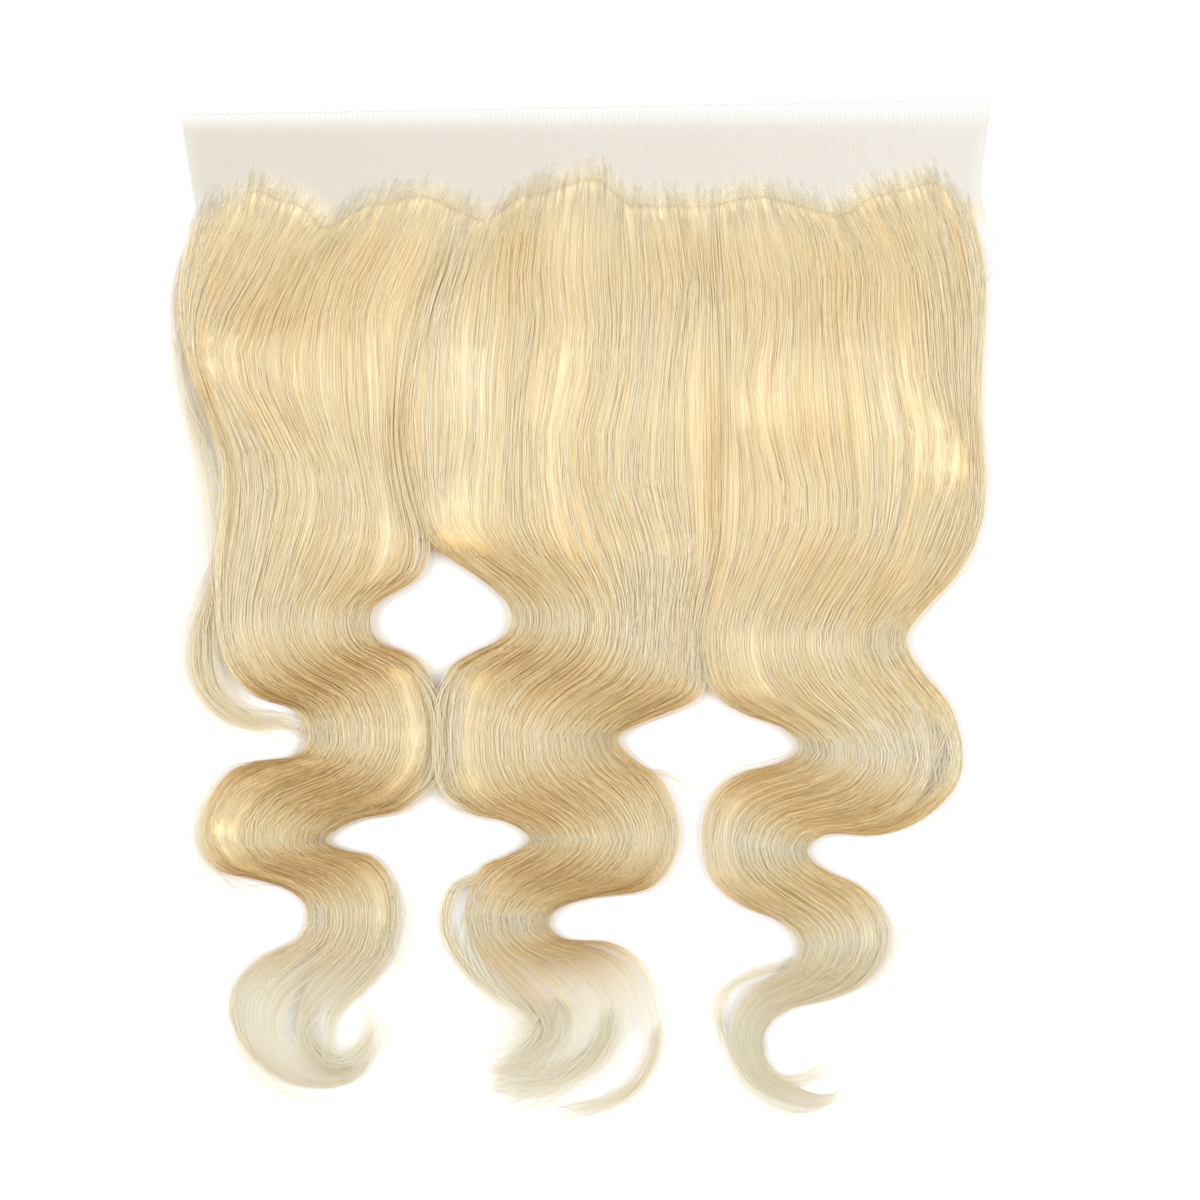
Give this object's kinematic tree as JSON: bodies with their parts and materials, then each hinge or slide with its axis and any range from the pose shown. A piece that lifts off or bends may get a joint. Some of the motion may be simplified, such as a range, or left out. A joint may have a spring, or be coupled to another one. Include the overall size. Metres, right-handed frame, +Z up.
{
  "type": "lace frontal hairpiece",
  "caption": "Strip of sheer lace with a fall of long wavy blonde hair knotted into it, laid flat with its ends parted into wavy locks.",
  "frame": {"origin": "middle of the underside of the lace panel, on the surface it lies on", "axes": "+X to the right along the front edge of the lace, +Y towards the bare front edge of the lace, +Z up from the surface"},
  "size_m": [0.3424, 0.421, 0.0144],
  "materials": {
    "lace": "sheer ivory net",
    "hair": "glossy light blonde hair"
  },
  "bodies": {
    "root": {"lace_panel": "lace", "left_lock": "hair", "middle_lock": "hair", "right_lock": "hair"}
  },
  "joints": []
}
